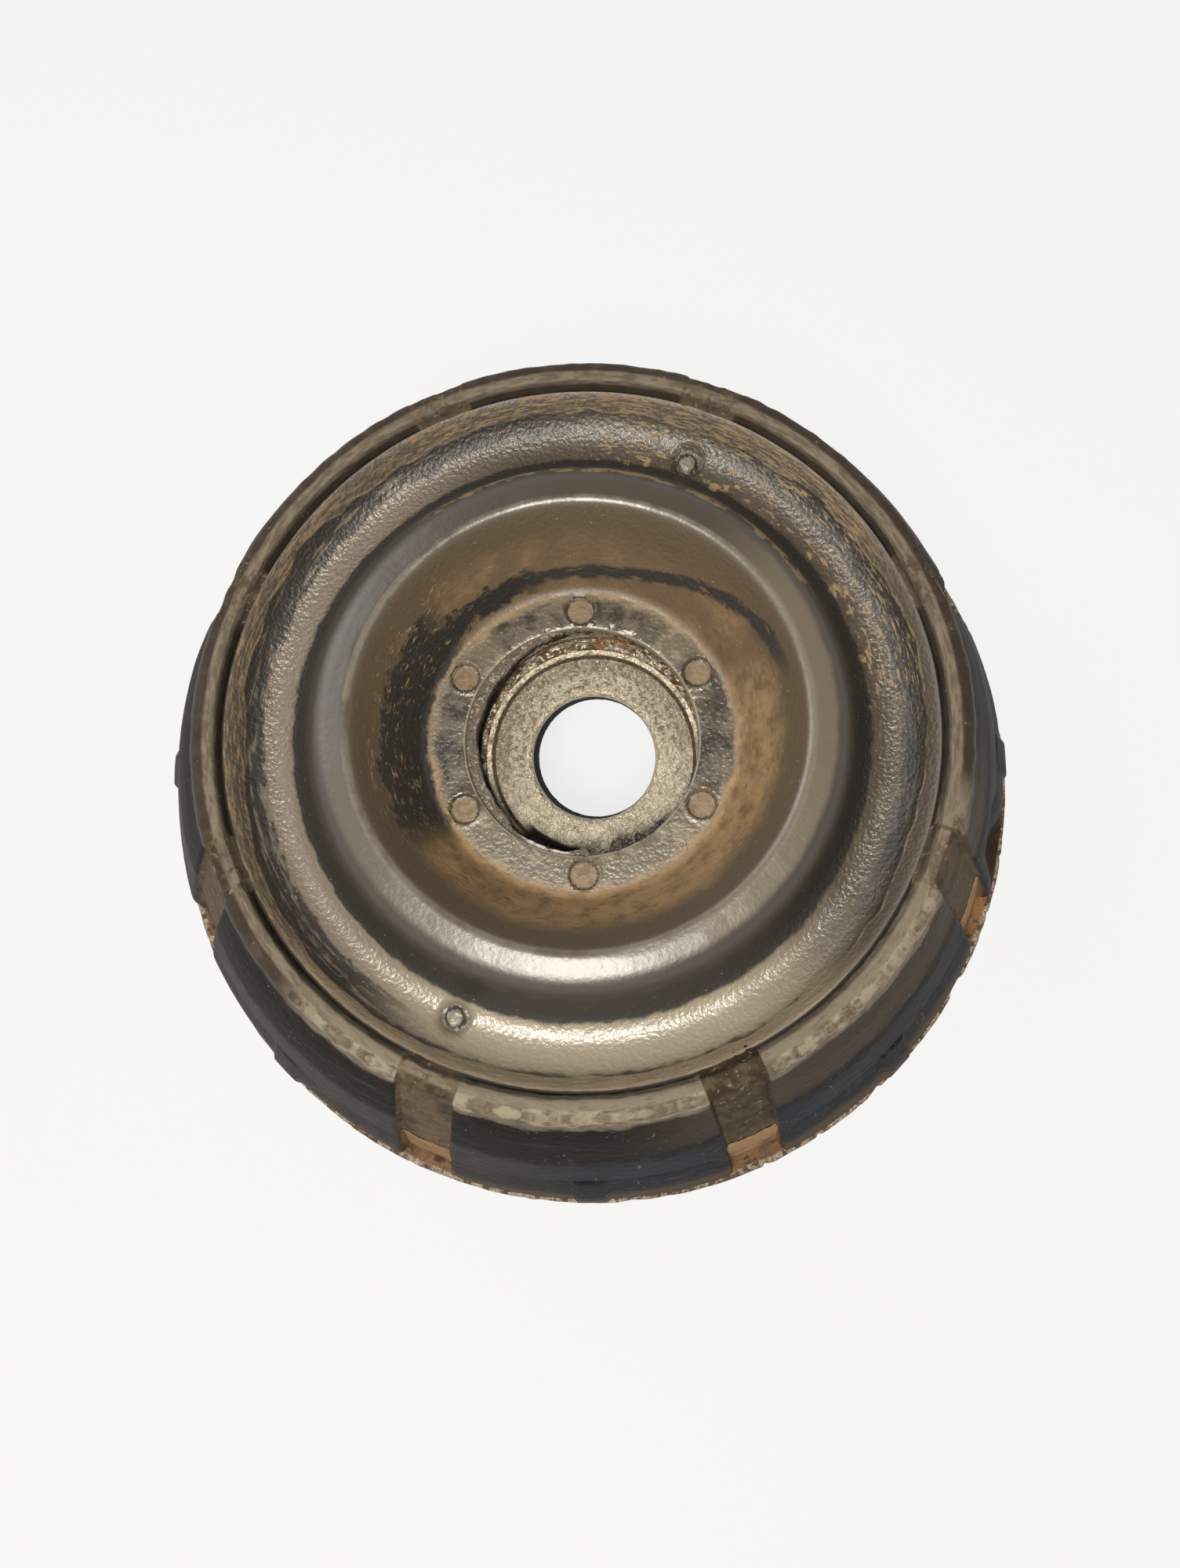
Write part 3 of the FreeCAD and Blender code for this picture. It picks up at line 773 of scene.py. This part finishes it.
    # painted highlights: the trough lighter at its bottom and on its left
    f.layer((186, 173, 150), 0.32, trough, f.sector(258, 38, 34))
    f.layer((148, 133, 115), 0.34, trough, f.sector(178, 44, 34))
    f.layer((50, 42, 34), 0.5, f.band(r, 49.8, 52.4, 0.5, 2.6), f.most(f.sector(165, 62, 20), f.sector(15, 34, 20)),
            f.streaks(600, 0.36, 0.5))
    f.layer((206, 190, 164), 0.5, trough, f.flecks(1300, 0.24, 0.26))
    f.layer((178, 150, 110), 0.8, f.band(r, 45.5, 52.5, 1.0, 5.0), f.streaks(1500, 0.54, 0.62), f.sector(46, 34, 16))
    # film of dust inside the lip, tan at the top, on the left and at the bottom
    film = ramp(f.tree, f.attribute("film"), 0.3, 0.7)
    f.layer((104, 89, 73), 0.5, film)
    f.layer((158, 142, 116), 0.5, film, f.inverse(ramp(f.tree, f.attribute("film"), 0.8, 1.0)),
            f.patches(220, 0.44, 0.56))
    f.layer((172, 144, 106), 0.85, film, f.streaks(1500, 0.48, 0.6),
            f.most(f.sector(78, 40, 20), f.sector(188, 46, 20)))
    f.layer((178, 156, 126), 0.5, film, f.sector(268, 40, 16), f.share(f.streaks(1000, 0.4, 0.6), 0.6))
    f.layer((52, 43, 36), 0.6, f.band(r, 54.3, 55.6, 0.2, 0.4))
    # round marks of the mould, where the steel shows brown, with painted shade in their pits and a painted highlight
    # on the dimples' bosses
    marks = f.attribute("mark")
    pins = ramp(f.tree, marks, 0.6, 0.8)
    # painted shade in the pits of the marks
    f.layer((38, 31, 24), 0.5, ramp(f.tree, marks, 0.02, 0.2))
    f.layer((156, 130, 95), 0.6, pins)
    f.layer((136, 110, 78), 0.7, pins, f.patches(520, 0.5, 0.62))
    # painted highlight on the dimples' raised bosses
    f.layer((150, 138, 120), 0.4, ramp(f.tree, marks, 0.3, 0.45), f.inverse(pins))
    # hairline cracks in the floor
    cracks = f.times(f.cracks(190, 0.004), f.band(r, 18.0, 24.5, 0.5, 0.5),
                     f.most(f.sector(245, 10, 5), f.sector(303, 13, 5), f.sector(348, 4, 3)))
    f.layer((52, 43, 35), 0.6, cracks)
    # the pebbles are deepest at the top of the trough and nearly polished away at its bottom
    pebbled = f.times(f.band(r, 43.5, 53.0, 2.0, 0.0), f.share(f.inverse(f.sector(262, 45, 40)), 0.4))
    floorPebbles = calc(f.tree, 'MULTIPLY', ramp(f.tree, r, 25.0, 24.0), 0.45)
    bowlPebbles = calc(f.tree, 'MULTIPLY', ramp(f.tree, r, 34.4, 33.4), 0.2)
    pebbled = f.most(pebbled, floorPebbles, bowlPebbles)
    grain = f.times(f.grain(pebbles=1500.0, pebbleHeight=1.6, fine=5000.0, fineHeight=0.35), f.share(pebbled, 0.14))
    return f.finish(grain, 0.15)


def wallFinish():
    f = Finish("lobeRubber", (44, 38, 33), 0.5, shade=0.5, gloss=0.04)
    z = f.height
    lobe = f.inverse(ramp(f.tree, f.attribute("notch"), 0.2, 0.7))
    bare = f.inverse(lobe)
    # painted reflection: a bluish sheen at mid-height of the lobes, strongest on the lower left
    f.layer((42, 44, 48), 0.5, f.band(z, 9.5, 27.0, 4.0, 6.0, 90), lobe)
    f.layer((42, 48, 58), 0.5, f.band(z, 14.0, 25.0, 4.0, 6.0, 90), lobe, f.sector(230, 60, 40))
    f.layer((34, 33, 34), 0.5, lobe, f.patches(90, 0.52, 0.7))
    # painted sheen, lighter on the lower left lobes
    f.layer((84, 76, 74), 0.5, lobe, f.sector(222, 30, 22), f.band(z, 4.0, 40.0, 3.0, 6.0, 220),
            f.share(f.patches(220, 0.4, 0.6), 0.5))
    f.layer((36, 30, 25), 0.55, f.band(z, 28.0, 39.5, 3.0, 5.0, 220), lobe)
    f.layer((88, 74, 58), 0.5, f.band(z, 30.0, 39.5, 3.0, 4.0, 220), lobe, f.sector(318, 25, 20))
    f.layer((104, 86, 66), 0.6, f.band(z, -1.0, 9.0, 2.5, 6.0, 90), lobe, f.sector(262, 60, 40))
    f.layer((112, 100, 86), 0.7, f.band(z, 0.0, 17.0, 2.0, 2.0), lobe, f.streaks(1000, 0.55, 0.7))
    f.layer((72, 66, 60), 0.5, lobe, f.streaks(400, 0.55, 0.8))
    f.layer((84, 76, 68), 0.6, lobe, f.patches(520, 0.56, 0.72), f.band(z, -1.0, 26.0, 6.0, 6.0, 220))
    # shoulder and lip: dark with a painted highlight as a fine bright line, scuffed and brightened by a painted
    # highlight at the lower right
    f.layer((88, 76, 66), 0.42, f.band(z, 40.4, 44.0, 0.8, 1.6))
    f.layer((112, 99, 85), 0.36, f.band(z, 41.2, 44.0, 0.8, 1.0), f.streaks(1500, 0.4, 0.8))
    # scuffs at the lower right, lightened further by a painted highlight
    scuffsAndHighlight = f.times(f.band(z, 40.3, 44.0, 1.2, 5.0, 220), f.sector(287, 54, 12), lobe)
    f.layer((146, 131, 112), 0.4, scuffsAndHighlight, f.share(f.patches(300, 0.34, 0.6), 0.45))
    f.layer((172, 158, 136), 0.42, scuffsAndHighlight, f.streaks(4200, 0.44, 0.7))
    # painted highlight along the lip at the lower right
    f.layer((206, 192, 168), 0.4, f.band(z, 41.3, 44.0, 0.8, 2.4, 520), f.sector(287, 54, 12), lobe,
            f.streaks(1500, 0.4, 0.6))
    # painted highlight: a fine bright line along the lip's inner edge
    f.layer((168, 154, 134), 0.4, f.band(z, 41.6, 44.0, 0.2, 0.3), f.band(f.radius, 55.4, 56.6, 0.6, 0.3),
            f.share(f.streaks(1500, 0.4, 0.6), 0.5))
    # floors of the notches, muddy above and rusty below
    f.layer((132, 114, 98), 0.66, bare, f.band(z, 10.0, 40.5, 1.0, 2.0))
    f.layer((146, 126, 100), 0.85, bare, f.patches(220, 0.5, 0.66))
    f.layer((70, 56, 46), 0.5, bare, f.band(z, 19.0, 40.0, 2.0, 2.0), f.patches(90, 0.5, 0.62))
    f.layer((84, 70, 55), 0.55, bare, f.band(z, 22.0, 42.0, 3.0, 3.0), f.sector(296, 8, 3))
    f.layer((118, 102, 84), 0.7, bare, f.patches(520, 0.48, 0.62))
    f.layer((176, 156, 130), 0.8, bare, f.patches(900, 0.6, 0.68))
    f.layer((184, 148, 110), 0.9, bare, f.band(z, -1.0, 18.0, 0.5, 4.0))
    f.layer((140, 104, 72), 0.9, bare, f.band(z, -1.0, 17.0, 0.5, 4.0), f.patches(520, 0.54, 0.66))
    f.layer((40, 30, 22), 0.7, bare, f.band(z, 17.6, 18.8, 0.3, 2.0, 520))
    f.layer((170, 160, 146), 0.7, f.flecks(640, 0.12, 0.16), lobe)
    f.layer((150, 146, 140), 0.6, f.scratches(1500.0), lobe, f.patches(220, 0.54, 0.62))
    return f.finish(f.grain(pebbles=700.0, pebbleHeight=1.0, fine=3800.0, fineHeight=0.4), 0.13)


def webFinish():
    f = Finish("tornRubber", (62, 50, 39), 0.6, shade=0.7)
    top = f.band(f.height, 27.0, 28.6, 0.3, 0.3)
    f.layer((120, 108, 94), 0.45, top)
    # painted highlight on the torn edge of the web at the lower left
    f.layer((236, 230, 222), 0.5, top, f.sector(253, 9, 4), f.patches(900, 0.4, 0.5))
    f.layer((196, 184, 164), 0.5, top, f.streaks(1800, 0.54, 0.62))
    f.layer((104, 82, 58), 0.8, f.inverse(top), f.patches(300, 0.5, 0.65))
    return f.finish(f.grain(pebbles=1500.0, pebbleHeight=2.0, fine=4200.0, fineHeight=0.8), 0.3)


def flapFinish():
    f = Finish("tornFlapRubber", (44, 35, 28), 0.42, shade=0.7)
    f.layer((84, 68, 52), 0.5, f.patches(700, 0.52, 0.64))
    f.layer((170, 150, 120), 0.7, f.flecks(1300, 0.24, 0.2))
    return f.finish(f.grain(pebbles=1600.0, pebbleHeight=2.0, fine=4600.0, fineHeight=0.7), 0.2)


def ringFinish():
    f = Finish("rustySteel", (112, 86, 62), 0.72, metal=0.3, shade=0.85)
    f.layer((150, 112, 76), 0.88, f.patches(170, 0.42, 0.6))
    f.layer((76, 55, 40), 0.8, f.patches(420, 0.55, 0.66))
    f.layer((170, 134, 98), 0.9, f.band(f.height, 4.0, 20.0, 1.0, 3.0), f.patches(120, 0.35, 0.6))
    # painted highlight on the outer edge of the flange
    rim = f.band(f.radius, 74.0, 78.0, 0.3, 1.2, 420)
    f.layer((150, 136, 120), 0.4, rim)
    f.layer((92, 70, 52), 0.7, rim, f.patches(700, 0.46, 0.56))
    return f.finish(f.grain(pebbles=900.0, pebbleHeight=2.0, fine=3000.0, fineHeight=0.9), 0.25)


def plateFinish():
    f = Finish("dustyPlate", (142, 118, 86), 0.72, metal=0.15, shade=0.75)
    f.layer((160, 138, 106), 0.8, f.patches(520, 0.48, 0.62))
    f.layer((112, 88, 62), 0.65, f.patches(260, 0.55, 0.68))
    f.layer((88, 66, 48), 0.75, f.inverse(f.band(f.height, 26.9, 50.0, 0.2, 0.1)))
    f.layer((140, 104, 70), 0.8, f.band(f.radius, 20.0, 21.5, 0.2, 0.3), f.sector(80, 8, 5))
    return f.finish(f.grain(pebbles=1300.0, pebbleHeight=2.0, fine=5200.0, fineHeight=0.8), 0.12)


def hubFinish():
    f = Finish("turnedSteel", (148, 141, 126), 0.46, metal=0.3, shade=1.1)
    place = tuple(c * mm for c in hub["place"])
    f.recentre(place, hubTurn().to_euler())
    r, z = f.radius, f.height
    face = f.band(z, -1.0, 1.0, 0.5, 0.1)
    coarse = f.times(face, f.band(r, 12.9, 19.0, 0.8, 1.2))
    f.layer((150, 142, 126), 0.42, coarse)
    f.layer((126, 115, 97), 0.5, coarse, f.patches(2000, 0.46, 0.6))
    f.layer((98, 84, 62), 0.65, coarse, f.patches(520, 0.56, 0.64), f.sector(120, 50, 30))
    f.layer((232, 224, 206), 0.3, coarse, f.flecks(1500, 0.32, 0.4))
    smooth = f.times(face, f.band(r, 11.4, 13.4, 0.8, 1.0))
    f.layer((168, 160, 143), 0.38, smooth)
    f.layer((118, 107, 88), 0.5, face, f.streaks(1300, 0.48, 0.6))
    f.layer((182, 173, 154), 0.4, face, f.sector(280, 60, 40), f.share(f.patches(520, 0.4, 0.6), 0.3))
    # painted shadow on the hub's face at the lower left, under the ledge of torn rubber
    f.layer((22, 17, 13), 0.8, face, f.band(r, 15.3, 20.0, 0.6, 0.8), f.sector(246, 16, 9))
    f.layer((182, 171, 150), 0.34, f.band(r, 9.0, 11.0, 0.3, 0.4))
    f.layer((66, 52, 38), 0.6, face, f.band(r, 16.3, 16.75, 0.12, 0.3))
    # painted highlight on the lit bead, on the side towards the top
    bead = f.times(face, f.band(r, 17.0, 17.6, 0.1, 0.5, 520), f.sector(105, 80, 30), f.patches(520, 0.36, 0.5))
    f.layer((206, 194, 172), 0.35, bead)
    f.layer((92, 72, 50), 0.7, f.band(r, 17.75, 19.6, 0.15, 0.4), f.patches(520, 0.45, 0.55))
    f.layer((220, 206, 184), 0.45, f.band(r, 17.85, 19.6, 0.15, 0.4), f.patches(1300, 0.54, 0.6))
    rimSide = f.times(f.inverse(f.band(z, -1.3, 2.0, 0.4, 0.6)), f.band(r, 12.0, 20.0, 0.1, 0.0))
    f.layer((88, 68, 49), 0.75, rimSide)
    # painted shadow on the hub's side at the lower left
    f.layer((16, 12, 9), 0.9, rimSide, f.sector(222, 50, 12))
    rust = f.times(f.band(r, 17.2, 20.0, 0.3, 0.8), f.band(z, -3.5, -0.5, 0.3, 1.0),
                   f.sector(80, 6, 5), f.patches(520, 0.4, 0.55))
    f.layer((134, 98, 64), 0.8, rust)
    # painted shade on the wall of the bore, near black
    bore = f.times(f.band(r, 9.0, 10.35, 0.1, 0.0), f.inverse(f.band(z, -1.5, 2.0, 0.4, 0.0)))
    f.layer((14, 17, 26), 0.95, bore)
    return f.finish(f.grain(pebbles=1500.0, pebbleHeight=3.0, fine=4200.0, fineHeight=0.8), 0.24)


pieces = [
    (makeDishSkin(), skinFinish(), "rubber", "rubber_body"),
    (makeLobedWall(), wallFinish(), "rubber", "rubber_body"),
    (makeTornWeb(), webFinish(), "rubber", "rubber_body"),
    (makeTornFlaps(), flapFinish(), "rubber", "rubber_body"),
    (makeFlangedRing(), ringFinish(), "rusty_steel", "base_ring"),
    (makePressedDish(), plateFinish(), "pressed_steel", "dish_plate"),
    (makeTornHub(), hubFinish(), "turned_steel", "centre_hub"),
]
for piece, material, slot, node in pieces:
    piece.data.materials.append(material)
    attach(piece, "root")
    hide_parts(node)
print("pieces ready")

# Camera at the photograph's angle: tilt off the axis and the way it leans, in degrees, and places in millimetres
view = dict(tilt=11.55, towards=-77.6, distance=190.07, shiftX=-1.326, shiftY=7.161, lens=27.09)


def makeCamera():
    tilt, way = math.radians(view["tilt"]), math.radians(view["towards"])
    back = Vector((math.sin(tilt) * math.cos(way), math.sin(tilt) * math.sin(way), math.cos(tilt)))
    right = Vector((0, 1, 0)).cross(back).normalized()
    up = back.cross(right)
    seen = Vector((math.cos(way), math.sin(way), 0))
    roll = way - math.atan2(seen.dot(up), seen.dot(right))
    across = right * math.cos(roll) - up * math.sin(roll)
    upward = right * math.sin(roll) + up * math.cos(roll)
    place = Vector((0, 0, floorHeight)) + back * view["distance"]
    place += -across * view["shiftX"] - upward * view["shiftY"]
    data = bpy.data.cameras.new("camera")
    data.lens = view["lens"]
    data.clip_start = 0.01
    camera = bpy.data.objects.new("camera", data)
    bpy.context.collection.objects.link(camera)
    axes = Matrix((across, upward, back)).transposed().to_4x4()
    camera.matrix_world = Matrix.Translation(place * mm) @ axes
    bpy.context.scene.camera = camera


makeCamera()

# Plain soft studio light: a disk high up, a small one nearer the viewer and a dim one from the left,
# in metres and watts
lamps = [dict(name="keyLight", place=(-0.05, -0.30, 0.90), size=0.34, power=6.6, colour=(1.0, 0.94, 0.84)),
         dict(name="frontLight", place=(-0.04, -0.17, 0.38), size=0.16, power=0.55, colour=(1.0, 0.95, 0.87)),
         dict(name="fillLight", place=(-0.60, 0.35, 0.55), size=0.60, power=2.0, colour=(0.96, 0.97, 1.0))]
for v in lamps:
    bpy.ops.object.light_add(type='AREA', location=v["place"])
    lamp = bpy.context.object
    lamp.name = lamp.data.name = v["name"]
    lamp.data.shape = 'DISK'
    lamp.data.size, lamp.data.energy, lamp.data.color = v["size"], v["power"], v["colour"]
    lamp.rotation_euler = (Vector((0, 0, 0.03)) - Vector(v["place"])).to_track_quat('-Z', 'Y').to_euler()

studio = dict(sky=(1.0, 0.96, 0.92), skyPower=0.2, floorRadius=3.0, backdropHeight=2.0, floorTone=0.5, floorWhite=0.8)


def makeStudio():
    world = bpy.data.worlds.new("studio")
    bpy.context.scene.world = world
    world.use_nodes = True
    sky = world.node_tree.nodes["Background"]
    sky.inputs["Color"].default_value = (*studio["sky"], 1)
    sky.inputs["Strength"].default_value = studio["skyPower"]
    # a round floor whose edge is drawn up into a backdrop
    bpy.ops.object.select_all(action='DESELECT')
    bpy.ops.mesh.primitive_circle_add(vertices=96, radius=studio["floorRadius"], fill_type='NGON')
    floor = bpy.context.object
    floor.name = floor.data.name = "studio_floor"
    bpy.ops.object.mode_set(mode='EDIT')
    bpy.ops.mesh.select_mode(type='EDGE')
    bpy.ops.mesh.select_all(action='SELECT')
    bpy.ops.mesh.extrude_edges_move(TRANSFORM_OT_translate={"value": (0, 0, studio["backdropHeight"])})
    bpy.ops.object.mode_set(mode='OBJECT')
    material = bpy.data.materials.new("paleFloor")
    material.use_nodes = True
    tree = material.node_tree
    matt = tree.nodes["Principled BSDF"]
    matt.inputs["Base Color"].default_value = (studio["floorTone"],) * 3 + (1,)
    matt.inputs["Roughness"].default_value = 0.9
    white = addNode(tree, "ShaderNodeEmission", {"Color": (1, 1, 1, 1), "Strength": 1.0})
    path = addNode(tree, "ShaderNodeLightPath").outputs
    indirect = calc(tree, 'MAXIMUM', path["Is Glossy Ray"], path["Is Transmission Ray"])
    seen = calc(tree, 'MAXIMUM', path["Is Camera Ray"], indirect)
    share = calc(tree, 'MULTIPLY', seen, studio["floorWhite"])
    both = addNode(tree, "ShaderNodeMixShader", {0: share, 1: matt.outputs[0], 2: white.outputs[0]})
    tree.links.new(both.outputs[0], tree.nodes["Material Output"].inputs["Surface"])
    floor.data.materials.append(material)


makeStudio()
bpy.context.scene.view_settings.view_transform = 'Standard'
print("studio ready")
